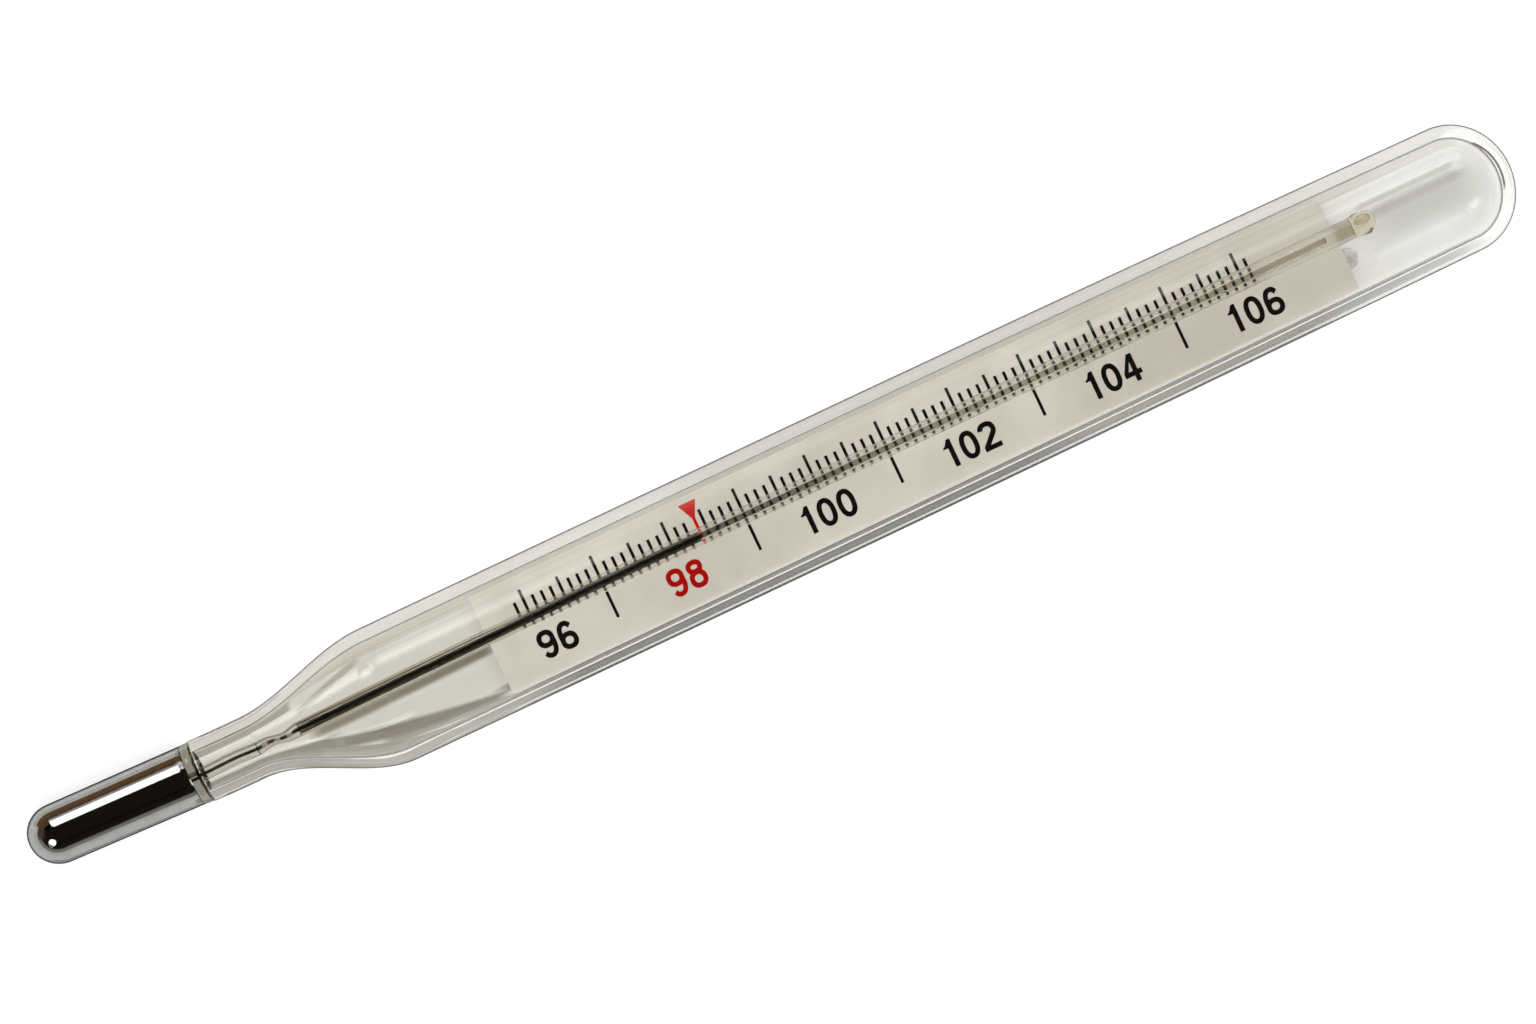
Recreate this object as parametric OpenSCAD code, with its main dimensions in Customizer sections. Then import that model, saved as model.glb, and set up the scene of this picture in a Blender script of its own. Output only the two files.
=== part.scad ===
// Enclosed-scale mercury fever thermometer, lying on its back with the scale facing up.
// +X runs from the bulb to the closed top, +Y towards the tops of the numerals, +Z out of the scale.
// The origin is under the middle of the length, on the surface that it lies on. All sizes are in mm.

/* [Bulb] */
// Outside diameter of the mercury bulb
bulb_d = 4.44; // [3.6:0.02:4.6]
// Length of the bulb, from its round tip to the weld
bulb_length = 12.3; // [8:0.1:20]
// Glass wall of the bulb
bulb_wall = 0.45; // [0.2:0.05:0.8]

/* [Neck] */
// Width of the ring of glass that welds bulb, stem and sheath together
weld_width = 1; // [0.6:0.1:2]
// Outside diameter of the neck of the sheath
neck_d = 4.66; // [4.2:0.02:5.6]
// Length of the straight neck
neck_length = 3.86; // [2:0.02:8]
// Glass wall of the neck
neck_wall = 0.78; // [0.4:0.02:1]
// Sideways offset of the bulb, neck and capillary from the middle of the body
neck_offset = 0.64; // [0:0.02:1]

/* [Sheath] */
// Width of the oval body at its widest
body_width = 10.1; // [9:0.1:13]
// Thickness of the oval body, from back to front, before its back is ground flat
body_thickness = 8; // [7:0.1:10]
// How deep the back is ground flat, so that it lies still
back_flat_depth = 0.22; // [0.1:0.01:0.4]
// Glass wall of the body
body_wall = 0.92; // [0.6:0.02:1.2]
// Length of the shoulder, over which the neck swells into the body
shoulder_length = 10.24; // [6:0.02:16]
// Length of the body, from the shoulder to the dome
body_length = 83.35; // [74:0.05:110]
// Height of the closed dome at the top
dome_length = 4.25; // [3:0.05:6]
// How much narrower each side of the body has become where the dome starts
top_narrowing = 0.37; // [0:0.01:0.6]

/* [Capillary] */
// Outside diameter of the stem tube in the neck
stem_d = 1; // [0.7:0.02:1.6]
// Bore of the stem tube
stem_bore = 0.2; // [0.12:0.02:0.3]
// Length of the stem tube, from the weld to the constriction
stem_length = 4.2; // [2:0.1:6]
// Length of the constriction
constriction_length = 3.3; // [2:0.1:6]
// Bore of the constriction
constriction_bore = 0.12; // [0.08:0.02:0.16]
// How deep the waist of the constriction is pinched in
pinch_depth = 0.16; // [0.05:0.01:0.25]
// Outside diameter of the capillary at its lower end
capillary_low_d = 1.06; // [0.8:0.02:1.6]
// Outside diameter of the capillary at its upper end
capillary_top_d = 1.5; // [1:0.02:1.8]
// Bore of the capillary, in which the mercury rises
bore_d = 0.34; // [0.2:0.02:0.5]
// Solid glass left above the closed end of the bore
bore_end_wall = 2; // [1:0.1:4]
// Diameter of the bead that seals the upper end of the capillary
seal_d = 1.7; // [1.6:0.05:2.4]
// Length of that bead
seal_length = 1.8; // [1.6:0.05:3]
// Empty room between the bead and the start of the dome
top_room = 5.95; // [2:0.05:10]

/* [Mercury] */
// Temperature that the column shows at rest, in degrees Fahrenheit
rest_reading = 98.4; // [96:0.1:106]
// Length of the moving upper end of the column
meniscus_length = 3; // [1:0.1:6]
// Gap between the mercury and the glass around it
fill_gap = 0.02; // [0.01:0.01:0.03]

/* [Scale plate] */
// Thickness of the scale plate
plate_thickness = 0.25; // [0.15:0.05:0.5]
// Distance from the end of the shoulder to the lower end of the plate
plate_setback = 8; // [4:0.1:14]
// How far the plate stops short of the upper end of the capillary
plate_end_gap = 1.2; // [0.6:0.1:4]
// Gap between the long edges of the plate and the inner walls
plate_side_gap = 0.06; // [0.04:0.01:0.2]
// Gap between the printing and the thick end of the capillary
capillary_gap = 0.05; // [0.03:0.01:0.15]
// Diameter of the dab of cement behind the upper end of the plate
cement_d = 1.56; // [1:0.02:2]
// Sideways place of the dab, from the middle towards the numerals
cement_side = 1.2; // [0.4:0.05:1.6]
// How far the dab's centre lies beyond the end of the plate
cement_overhang = 0.2; // [0:0.05:0.5]
// Gap between the dab and the back wall
cement_gap = 0.03; // [0.02:0.01:0.1]

/* [Graduation] */
// Thickness of the printed ink
ink_thickness = 0.03; // [0.02:0.01:0.05]
// Distance from the lower end of the plate to the first degree
scale_inset_low = 3.5; // [2:0.1:8]
// Distance from the last degree to the upper end of the plate
scale_inset_top = 7.24; // [3:0.02:12]
// Marks to a degree, an even number, so that one of them is half a degree
marks_per_degree = 8; // [4:2:10]
// Width of a printed line
line_width = 0.22; // [0.1:0.02:0.26]
// Length of a short mark, between the half degrees
short_length = 1.98; // [1:0.02:2.2]
// Length of the mark of half a degree
half_length = 2.4; // [1.6:0.02:2.6]
// Length of the mark of a whole degree
degree_length = 2.7; // [2:0.02:3]
// Length of the line below each odd degree
odd_line_length = 1.98; // [1:0.02:2.6]
// Gap between the marks and the line below an odd degree
odd_line_gap = 0.06; // [0.04:0.02:0.4]

/* [Numerals] */
// Height of a digit
digit_height = 2.05; // [1.2:0.05:2.2]
// Width of a digit
digit_width = 1.3; // [0.9:0.05:1.5]
// Width of the strokes of a digit
digit_stroke = 0.36; // [0.24:0.01:0.4]
// Gap between two digits
digit_gap = 0.22; // [0.14:0.02:0.5]
// Gap between the foot of the marks and the top of a digit
numeral_drop = 0.6; // [0.2:0.05:0.8]
// How far the first numeral stands past its own degree
first_numeral_shift = 1; // [0:0.1:1.5]

/* [Normal mark] */
// Normal temperature, shown by the red mark, in degrees Fahrenheit
normal_reading = 98.4; // [97.6:0.1:99.6]
// Width of the red triangle
pointer_width = 1.36; // [0.8:0.02:1.6]
// Height of the red triangle
pointer_height = 1.24; // [0.6:0.02:1.4]

/* [Hidden] */
$fn = 48;

// Colours that more than one piece has
black_ink = [0.13, 0.12, 0.11];
red_ink = [0.74, 0.18, 0.13];
tube_glass = [0.85, 0.86, 0.82];
fine_mercury = [0.45, 0.45, 0.44];

// Radii and heights
bulb_r = bulb_d / 2;
neck_r = neck_d / 2;
capillary_top_r = capillary_top_d / 2;
axis_z = body_thickness / 2 - back_flat_depth;
plate_top = axis_z - capillary_top_r - capillary_gap - ink_thickness;
plate_bottom = plate_top - plate_thickness;

// Stations along the length, from the tip of the bulb to the tip of the dome
overall_length = bulb_length + weld_width + neck_length + shoulder_length + body_length + dome_length;
x_tip = -overall_length / 2;
x_weld = x_tip + bulb_length;
x_neck = x_weld + weld_width;
x_shoulder = x_neck + neck_length;
x_body = x_shoulder + shoulder_length;
x_dome = x_body + body_length;
x_end = x_dome + dome_length;
x_constriction = x_neck + stem_length;
x_capillary = x_constriction + constriction_length;
x_seal = x_dome - top_room - seal_length;
x_plate = x_body + plate_setback;
x_plate_end = x_seal - plate_end_gap;

// Graduation: from the first to the last degree Fahrenheit, spread over the plate between its two insets
first_degree = 96;
last_degree = 106;
degree_count = last_degree - first_degree;
half_step = marks_per_degree / 2;
degree_pitch = (x_plate_end - scale_inset_top - x_plate - scale_inset_low) / degree_count;
overrun_marks = 1;
function degree_x(degree) = x_plate + scale_inset_low + (degree - first_degree) * degree_pitch;
x_meniscus_top = degree_x(rest_reading);
x_meniscus = x_meniscus_top - meniscus_length;

// Shape of the sheath: how its centre, half width, half height and wall change along the length
function unit(u) = min(1, max(0, u));
function ease(u) = u * u * (3 - 2 * u);
function swell(x) = ease(unit((x - x_shoulder) / shoulder_length));
function narrowing(x) = top_narrowing * pow(unit((x - x_body) / body_length), 3);
function centre_y(x) = neck_offset * (1 - swell(x));
function wall_at(x) = neck_wall + (body_wall - neck_wall) * swell(x);
function outer_half_w(x) = neck_r + (body_width / 2 - neck_r) * swell(x) - narrowing(x);
function outer_half_h(x) = neck_r + (body_thickness / 2 - neck_r) * swell(x);
function inner_half_w(x) = outer_half_w(x) - wall_at(x);
function inner_half_h(x) = outer_half_h(x) - wall_at(x);
// Half the width of the inner oval at height z, and its depth below the axis at the sideways place y
function inner_chord(x, z) = inner_half_w(x) * sqrt(1 - pow((z - axis_z) / inner_half_h(x), 2));
function inner_depth(x, y) = inner_half_h(x) * sqrt(1 - pow(y / inner_half_w(x), 2));

// Rings of points around the sheath, none of them below the flat back
sheath_sides = 48;
shoulder_steps = 16;
body_steps = 10;
dome_steps = 8;
facet_stretch = 1 / cos(180 / sheath_sides);
sheath_stations = concat(
    [x_neck],
    [for (i = [0 : shoulder_steps]) x_shoulder + shoulder_length * i / shoulder_steps],
    [for (i = [1 : body_steps]) x_body + body_length * i / body_steps]
);
dome_angles = [for (i = [1 : dome_steps - 1]) 90 * i / dome_steps];
ring_count = len(sheath_stations) + len(dome_angles);

function oval_ring(x, y, half_w, half_h) = [
    for (k = [0 : sheath_sides - 1])
        let (a = (k + 0.5) * 360 / sheath_sides)
        [x, y + half_w * facet_stretch * cos(a), max(0, axis_z + half_h * facet_stretch * sin(a))]
];
function dome_rings(half_w, half_h, height) = [
    for (a = dome_angles)
        each oval_ring(x_dome + height * sin(a), 0, half_w * cos(a), half_h * cos(a))
];
function outer_skin() = concat(
    [for (x = sheath_stations) each oval_ring(x, centre_y(x), outer_half_w(x), outer_half_h(x))],
    dome_rings(outer_half_w(x_dome), outer_half_h(x_dome), dome_length),
    [[x_end, 0, axis_z]]
);
function inner_skin() = concat(
    [for (x = sheath_stations) each oval_ring(x, centre_y(x), inner_half_w(x), inner_half_h(x))],
    dome_rings(inner_half_w(x_dome), inner_half_h(x_dome), dome_length - body_wall),
    [[x_end - body_wall, 0, axis_z]]
);
// Triangles of one skin, whose points start at index first
function skin_faces(first) = concat(
    [for (j = [0 : ring_count - 2], k = [0 : sheath_sides - 1])
        let (
            a = first + j * sheath_sides + k,
            b = first + j * sheath_sides + (k + 1) % sheath_sides,
            c = b + sheath_sides,
            d = a + sheath_sides
        )
        each [[a, d, c], [a, c, b]]],
    [for (k = [0 : sheath_sides - 1])
        let (last = first + (ring_count - 1) * sheath_sides)
        [last + k, first + ring_count * sheath_sides, last + (k + 1) % sheath_sides]]
);
// Triangles of the ring-shaped end face at the weld
function rim_faces(inner_first) = [
    for (k = [0 : sheath_sides - 1])
        let (n = (k + 1) % sheath_sides)
        each [[k, n, inner_first + n], [k, inner_first + n, inner_first + k]]
];
function turned_over(faces) = [for (f = faces) [f[2], f[1], f[0]]];

// Stands a shape that is built upwards along the stem's own axis, from the station x
module on_stem(x) {
    translate([x, neck_offset, axis_z])
        rotate([0, 90, 0])
            children();
}

// Prints a flat shape on the face of the plate
module printed() {
    translate([0, 0, plate_top])
        linear_extrude(ink_thickness)
            children();
}

// One rod with a round upper end
module round_ended_rod(length, r) {
    cylinder(h = length - r, r = r);
    translate([0, 0, length - r])
        sphere(r);
}

// The closed round glass finger of the bulb, tip down, or the space inside it
module bulb_form(r, length) {
    translate([0, 0, bulb_r])
        sphere(r);
    translate([0, 0, bulb_r])
        cylinder(h = length - bulb_r, r = r);
}

module glass_sheath() {
    outer = outer_skin();
    inner = inner_skin();
    color([0.86, 0.88, 0.86, 0.4])
        polyhedron(
            concat(outer, inner),
            concat(skin_faces(0), turned_over(skin_faces(len(outer))), rim_faces(len(outer))),
            convexity = 6
        );
}

module bulb_shell() {
    mouth = bulb_wall;
    color([0.85, 0.87, 0.85, 0.5])
        on_stem(x_tip)
            difference() {
                bulb_form(bulb_r, bulb_length);
                bulb_form(bulb_r - bulb_wall, bulb_length + mouth);
            }
}

module bulb_mercury() {
    color([0.62, 0.62, 0.6])
        on_stem(x_tip)
            bulb_form(bulb_r - bulb_wall - fill_gap, bulb_length);
}

module weld_ring() {
    color([0.66, 0.68, 0.5])
        on_stem(x_weld)
            difference() {
                cylinder(h = weld_width, r = bulb_r);
                translate([0, 0, -weld_width])
                    cylinder(h = 3 * weld_width, d = stem_bore);
            }
}

module stem_tube() {
    color(tube_glass)
        on_stem(x_neck)
            difference() {
                cylinder(h = stem_length, d = stem_d);
                translate([0, 0, -stem_length])
                    cylinder(h = 3 * stem_length, d = stem_bore);
            }
}

module stem_mercury() {
    color(fine_mercury)
        on_stem(x_weld)
            cylinder(h = weld_width + stem_length, r = stem_bore / 2 - fill_gap);
}

// The outline runs from the stem's diameter to the capillary's and is pinched in between
module constriction() {
    steps = 12;
    outline = [
        for (i = [0 : steps])
            let (
                u = i / steps,
                r = stem_d / 2 + (capillary_low_d - stem_d) / 2 * u - pinch_depth * pow(sin(180 * u), 2)
            )
            [r, constriction_length * u]
    ];
    bore_r = constriction_bore / 2;
    color(tube_glass)
        on_stem(x_constriction)
            rotate_extrude()
                polygon(concat(outline, [[bore_r, constriction_length], [bore_r, 0]]));
}

module constriction_mercury() {
    color(fine_mercury)
        on_stem(x_constriction)
            cylinder(h = constriction_length, r = constriction_bore / 2 - fill_gap);
}

module capillary_tube() {
    length = x_seal - x_capillary;
    bore_length = length - bore_end_wall;
    color([0.86, 0.87, 0.84])
        on_stem(x_capillary)
            difference() {
                cylinder(h = length, d1 = capillary_low_d, d2 = capillary_top_d);
                translate([0, 0, -bore_length])
                    cylinder(h = 2 * bore_length, d = bore_d);
            }
}

module mercury_thread() {
    color([0.12, 0.12, 0.12])
        on_stem(x_capillary)
            cylinder(h = x_meniscus - x_capillary, r = bore_d / 2 - fill_gap);
}

module mercury_meniscus() {
    color([0.2, 0.2, 0.2])
        on_stem(x_meniscus)
            round_ended_rod(meniscus_length, bore_d / 2 - fill_gap);
}

module capillary_seal() {
    color([0.82, 0.76, 0.58])
        on_stem(x_seal)
            round_ended_rod(seal_length, seal_d / 2);
}

module scale_plate() {
    low_half = inner_chord(x_plate, plate_bottom) - plate_side_gap;
    top_half = inner_chord(x_plate_end, plate_bottom) - plate_side_gap;
    color([0.82, 0.8, 0.75])
        translate([0, 0, plate_bottom])
            linear_extrude(plate_thickness)
                polygon([
                    [x_plate, -low_half],
                    [x_plate_end, -top_half],
                    [x_plate_end, top_half],
                    [x_plate, low_half]
                ]);
}

// A dab that hangs from the back of the plate and rounds off just clear of the back wall
module plate_cement() {
    x = x_plate_end + cement_overhang;
    r = cement_d / 2;
    depth = inner_depth(x, cement_side);
    slope = (inner_depth(x, cement_side - r) - depth) / r;
    ball_z = axis_z - depth + (r + cement_gap) * sqrt(1 + slope * slope);
    color([0.62, 0.56, 0.47])
        translate([x, -cement_side, ball_z]) {
            cylinder(h = plate_bottom - ball_z, r = r);
            sphere(r);
        }
}

// Marks that stand on the foot line of the scale, one for each degree value in the list
module marks(degrees, length) {
    printed()
        for (degree = degrees)
            translate([degree_x(degree) - line_width / 2, 0])
                square([line_width, length]);
}

// The red mark takes the place of the black mark that it would cover
function off_the_pointer(degree) = abs(degree - normal_reading) * degree_pitch > line_width;
function graduation(i) = first_degree + i / marks_per_degree;
all_marks = [-overrun_marks : degree_count * marks_per_degree + overrun_marks];

module short_marks() {
    color(black_ink)
        marks(
            [for (i = all_marks)
                if (i % half_step != 0 && off_the_pointer(graduation(i))) graduation(i)],
            short_length
        );
}

module half_degree_marks() {
    color(black_ink)
        marks(
            [for (i = all_marks)
                if (abs(i % marks_per_degree) == half_step && off_the_pointer(graduation(i))) graduation(i)],
            half_length
        );
}

module degree_marks() {
    color(black_ink)
        marks(
            [for (i = all_marks)
                if (i % marks_per_degree == 0 && off_the_pointer(graduation(i))) graduation(i)],
            degree_length
        );
}

module odd_degree_lines() {
    color(black_ink)
        printed()
            for (degree = [first_degree + 1 : 2 : last_degree])
                translate([degree_x(degree) - line_width / 2, -odd_line_gap - odd_line_length])
                    square([line_width, odd_line_length]);
}

// Digits are drawn in a box of digit_width by digit_height, from ovals, arcs and straight strokes
oval_points = 40;
oval_power = 0.88;
function flatten_power(c) = sign(c) * pow(abs(c), oval_power);
function oval_point(half_w, half_h, a) = [half_w * flatten_power(cos(a)), half_h * flatten_power(sin(a))];

module oval(w, h) {
    polygon([for (i = [0 : oval_points - 1]) oval_point(w / 2, h / 2, 360 * i / oval_points)]);
}

// A hollow oval that stands on the point [x, y]
module bowl(x, y, w, h) {
    translate([x, y + h / 2])
        difference() {
            oval(w, h);
            oval(w - 2 * digit_stroke, h - 2 * digit_stroke);
        }
}

// Part of a hollow oval about the point [x, y], from angle start to angle finish
module arc_stroke(x, y, w, h, start, finish) {
    steps = 24;
    angles = [for (i = [0 : steps]) start + (finish - start) * i / steps];
    outer = [for (a = angles) oval_point(w / 2, h / 2, a)];
    inner = [for (a = angles) oval_point(w / 2 - digit_stroke, h / 2 - digit_stroke, a)];
    translate([x, y])
        polygon(concat(outer, [for (i = [steps : -1 : 0]) inner[i]]));
}

// The digit 1 is narrower, and keeps some of its box free after its post
one_width = digit_width * 0.54;
one_box = digit_width * 0.74;

module digit_0() {
    bowl(digit_width / 2, 0, digit_width, digit_height);
}

module digit_1() {
    flag_low = digit_height * 0.7;
    flag_high = digit_height * 0.8;
    left = one_width - digit_stroke;
    polygon([
        [left, 0],
        [one_width, 0],
        [one_width, digit_height],
        [left + digit_stroke / 4, digit_height],
        [left / 2, flag_high],
        [0, flag_high - digit_stroke / 4],
        [0, flag_low],
        [left, flag_low]
    ]);
}

module digit_2() {
    crown = digit_height * 0.6;
    bend = -32;
    lap = 3;
    centre = [digit_width / 2, digit_height - crown / 2];
    tail_out = centre + oval_point(digit_width / 2, crown / 2, bend);
    tail_in = centre + oval_point(digit_width / 2 - digit_stroke, crown / 2 - digit_stroke, bend);
    arc_stroke(centre[0], centre[1], digit_width, crown, bend - lap, 172);
    polygon([
        tail_out,
        tail_in,
        [0, digit_stroke],
        [0, digit_stroke / 2],
        [digit_stroke * 1.4, digit_stroke]
    ]);
    square([digit_width, digit_stroke]);
}

module digit_4() {
    bar_y = digit_height * 0.22;
    bar_top = bar_y + digit_stroke;
    post_x = digit_width * 0.8 - digit_stroke;
    post_right = post_x + digit_stroke;
    difference() {
        polygon([
            [post_x, 0],
            [post_right, 0],
            [post_right, bar_y],
            [digit_width, bar_y],
            [digit_width, bar_top],
            [post_right, bar_top],
            [post_right, digit_height],
            [post_x, digit_height],
            [0, bar_top],
            [0, bar_y],
            [post_x, bar_y]
        ]);
        polygon([
            [digit_stroke, bar_top],
            [post_x, bar_top],
            [post_x, digit_height - 1.5 * digit_stroke]
        ]);
    }
}

module digit_6() {
    bowl_height = digit_height * 0.62;
    bowl(digit_width / 2, 0, digit_width, bowl_height);
    arc_stroke(digit_width / 2, digit_height / 2, digit_width, digit_height, 38, 205);
}

module digit_8() {
    upper_height = digit_height * 0.5;
    upper_width = digit_width * 0.92;
    lower_height = digit_height - upper_height + digit_stroke * 0.8;
    bowl(digit_width / 2, 0, digit_width, lower_height);
    bowl(digit_width / 2, digit_height - upper_height, upper_width, upper_height);
}

module digit_9() {
    translate([digit_width, digit_height])
        rotate(180)
            digit_6();
}

module digit(d) {
    if (d == 0) digit_0();
    if (d == 1) digit_1();
    if (d == 2) digit_2();
    if (d == 4) digit_4();
    if (d == 6) digit_6();
    if (d == 8) digit_8();
    if (d == 9) digit_9();
}

function width_of(d) = d == 1 ? one_box : digit_width;
// Where digit i of a numeral starts, and with i past the last digit, how wide the numeral is
function start_of(digits, i) = i == 0 ? 0 : start_of(digits, i - 1) + width_of(digits[i - 1]) + digit_gap;

// A numeral centred below the mark of degree, or shifted along from it
module numeral(digits, degree, shift = 0) {
    width = start_of(digits, len(digits)) - digit_gap;
    printed()
        translate([degree_x(degree) + shift - width / 2, -numeral_drop - digit_height])
            for (i = [0 : len(digits) - 1])
                translate([start_of(digits, i), 0])
                    digit(digits[i]);
}

module numeral_96() {
    color(black_ink) numeral([9, 6], 96, first_numeral_shift);
}

module numeral_98() {
    color(red_ink) numeral([9, 8], 98);
}

module numeral_100() {
    color(black_ink) numeral([1, 0, 0], 100);
}

module numeral_102() {
    color(black_ink) numeral([1, 0, 2], 102);
}

module numeral_104() {
    color(black_ink) numeral([1, 0, 4], 104);
}

module numeral_106() {
    color(black_ink) numeral([1, 0, 6], 106);
}

// A triangle whose point runs down into a line, in place of the black mark
module normal_mark() {
    half_line = line_width / 2;
    color(red_ink)
        printed()
            translate([degree_x(normal_reading), 0])
                polygon([
                    [-half_line, 0],
                    [half_line, 0],
                    [half_line, short_length],
                    [pointer_width / 2, short_length + pointer_height],
                    [-pointer_width / 2, short_length + pointer_height],
                    [-half_line, short_length]
                ]);
}

glass_sheath();
bulb_shell();
bulb_mercury();
weld_ring();
stem_tube();
stem_mercury();
constriction();
constriction_mercury();
capillary_tube();
mercury_thread();
mercury_meniscus();
capillary_seal();
scale_plate();
plate_cement();
short_marks();
half_degree_marks();
degree_marks();
odd_degree_lines();
numeral_96();
numeral_98();
numeral_100();
numeral_102();
numeral_104();
numeral_106();
normal_mark();
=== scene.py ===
"""Looks of an enclosed-scale clinical thermometer: glass, mercury, plate and printing on a white floor."""

import math

import bmesh
import bpy
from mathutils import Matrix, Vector


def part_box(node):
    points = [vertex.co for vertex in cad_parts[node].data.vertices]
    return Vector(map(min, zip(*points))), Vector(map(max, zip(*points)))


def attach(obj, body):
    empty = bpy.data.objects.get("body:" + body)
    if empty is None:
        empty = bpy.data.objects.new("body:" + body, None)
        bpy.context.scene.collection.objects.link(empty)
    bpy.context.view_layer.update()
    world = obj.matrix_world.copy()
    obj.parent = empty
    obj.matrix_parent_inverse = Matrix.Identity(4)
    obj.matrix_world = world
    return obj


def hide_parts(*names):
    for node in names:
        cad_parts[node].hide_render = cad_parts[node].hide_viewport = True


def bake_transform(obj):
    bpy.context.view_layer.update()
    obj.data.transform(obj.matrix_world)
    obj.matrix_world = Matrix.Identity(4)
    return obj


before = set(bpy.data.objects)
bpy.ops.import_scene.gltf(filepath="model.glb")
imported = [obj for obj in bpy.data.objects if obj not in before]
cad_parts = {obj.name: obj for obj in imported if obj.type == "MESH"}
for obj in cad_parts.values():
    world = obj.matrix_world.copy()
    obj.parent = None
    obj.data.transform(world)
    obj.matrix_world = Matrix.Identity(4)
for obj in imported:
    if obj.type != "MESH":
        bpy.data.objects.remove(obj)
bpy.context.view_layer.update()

# Lengths in this script are in mm; MM turns them into Blender's metres
MM = 0.001
ROOT = "thermometer"
COLUMN = "mercury_column"

# Stations along the length, and the axis of the capillary, taken from the CAD nodes


def span(node, axis):
    low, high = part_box(node)
    return low[axis] / MM, high[axis] / MM


X_TIP, X_WELD = span("bulb_shell", 0)
X_NECK = span("weld_ring", 0)[1]
X_CAPILLARY, X_SEAL = span("capillary_tube", 0)
X_SEAL_END = span("capillary_seal", 0)[1]
X_PINCH = span("constriction", 0)[0]
X_MENISCUS, X_COLUMN_TOP = span("mercury_meniscus", 0)
X_PLATE, X_PLATE_END = span("scale_plate", 0)
X_END = span("glass_sheath", 0)[1]
AXIS_Y = sum(span("capillary_tube", 1)) / 2
AXIS_Z = sum(span("capillary_tube", 2)) / 2

# Shape of the sheath and the bulb, as the CAD source has it
NECK_LENGTH = 3.86
SHOULDER = 10.24
DOME_LENGTH = 4.25
X_SHOULDER = X_NECK + NECK_LENGTH
X_BODY = X_SHOULDER + SHOULDER
X_DOME = X_END - DOME_LENGTH
NECK_R = 2.33
BODY_HALF_W = 5.05
BODY_HALF_H = 4.0
NECK_WALL = 0.78
BODY_WALL = 0.92
TOP_NARROWING = 0.37
BULB_R = 2.22
BULB_WALL = 0.45

# Lean of the bulb, which was welded on a little crooked, and sag of the capillary's lower end
X_LEAN = -42.5
LEAN_SLOPE = 0.0314
X_SAG = -13
SAG_LENGTH = 23.5
SAG_DEPTH = 0.2
SAG_POWER = 1.2


def unit(u):
    return min(1.0, max(0.0, u))


def ease(u):
    u = unit(u)
    return u * u * (3 - 2 * u)


def swell(x):
    return ease((x - X_SHOULDER) / SHOULDER)


def narrowing(x):
    return TOP_NARROWING * unit((x - X_BODY) / (X_DOME - X_BODY)) ** 3


def lean(x):
    """Sideways shift towards the bulb, which begins softly and goes on as a straight slope."""
    u = X_LEAN - x
    return LEAN_SLOPE * (u + math.sqrt(u * u + 1)) / 2


def sheath_y(x):
    return AXIS_Y * (1 - swell(x)) + lean(x)


def wall(x):
    return NECK_WALL + (BODY_WALL - NECK_WALL) * swell(x)


def half_w(x):
    return NECK_R + (BODY_HALF_W - NECK_R) * swell(x) - narrowing(x)


def half_h(x):
    return NECK_R + (BODY_HALF_H - NECK_R) * swell(x)


def capillary_y(x):
    """The capillary hangs a little towards the numerals at its lower end."""
    return AXIS_Y - SAG_DEPTH * unit((X_SAG - x) / SAG_LENGTH) ** SAG_POWER


# Mesh builders
POLE_R = 1e-6
TUBE_SIDES = 40
HAIR_SIDES = 16


def make_object(name, points, faces, crease_deg=30):
    mesh = bpy.data.meshes.new(name)
    mesh.from_pydata([Vector(p) * MM for p in points], [], faces)
    bm = bmesh.new()
    bm.from_mesh(mesh)
    bmesh.ops.recalc_face_normals(bm, faces=bm.faces)
    bm.to_mesh(mesh)
    bm.free()
    for polygon in mesh.polygons:
        polygon.use_smooth = True
    mesh.set_sharp_from_angle(angle=math.radians(crease_deg))
    obj = bpy.data.objects.new(name, mesh)
    bpy.context.scene.collection.objects.link(obj)
    return obj


def ring_skin(rings, points, faces, closed=False):
    """Adds rings of equal length, or single points as poles, and joins each to the next."""
    index = []
    for ring in rings:
        index.append(range(len(points), len(points) + len(ring)))
        points.extend(ring)
    pairs = list(zip(index, index[1:]))
    if closed:
        pairs.append((index[-1], index[0]))
    for a, b in pairs:
        count = max(len(a), len(b))
        for k in range(count):
            n = (k + 1) % count
            if len(a) == 1:
                faces.append((a[0], b[n], b[k]))
            elif len(b) == 1:
                faces.append((a[k], a[n], b[0]))
            else:
                faces.append((a[k], a[n], b[n], b[k]))


def circle(x, r, centre_y, sides):
    if r < POLE_R:
        return [(x, centre_y(x), AXIS_Z)]
    angles = [2 * math.pi * k / sides for k in range(sides)]
    return [(x, centre_y(x) + r * math.cos(a), AXIS_Z + r * math.sin(a)) for a in angles]


def lathe(name, profile, centre_y, sides, closed=False):
    """A turned piece from a profile of (x, r); a closed profile makes a tube with walls."""
    points, faces = [], []
    ring_skin([circle(x, r, centre_y, sides) for x, r in profile], points, faces, closed)
    return make_object(name, points, faces)


def along(a, b, count):
    return [a + (b - a) * i / count for i in range(count + 1)]


def quarter_turns(first, count):
    """Angles that divide a right angle into count steps, from the step first to the last but one."""
    return [math.pi / 2 * i / count for i in range(first, count)]


def round_end(x, r, length, count):
    """Profile of a round end that closes on the axis, after the station x."""
    curve = [(x + length * math.sin(a), r * math.cos(a)) for a in quarter_turns(1, count)]
    return curve + [(x + length, 0)]


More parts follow.
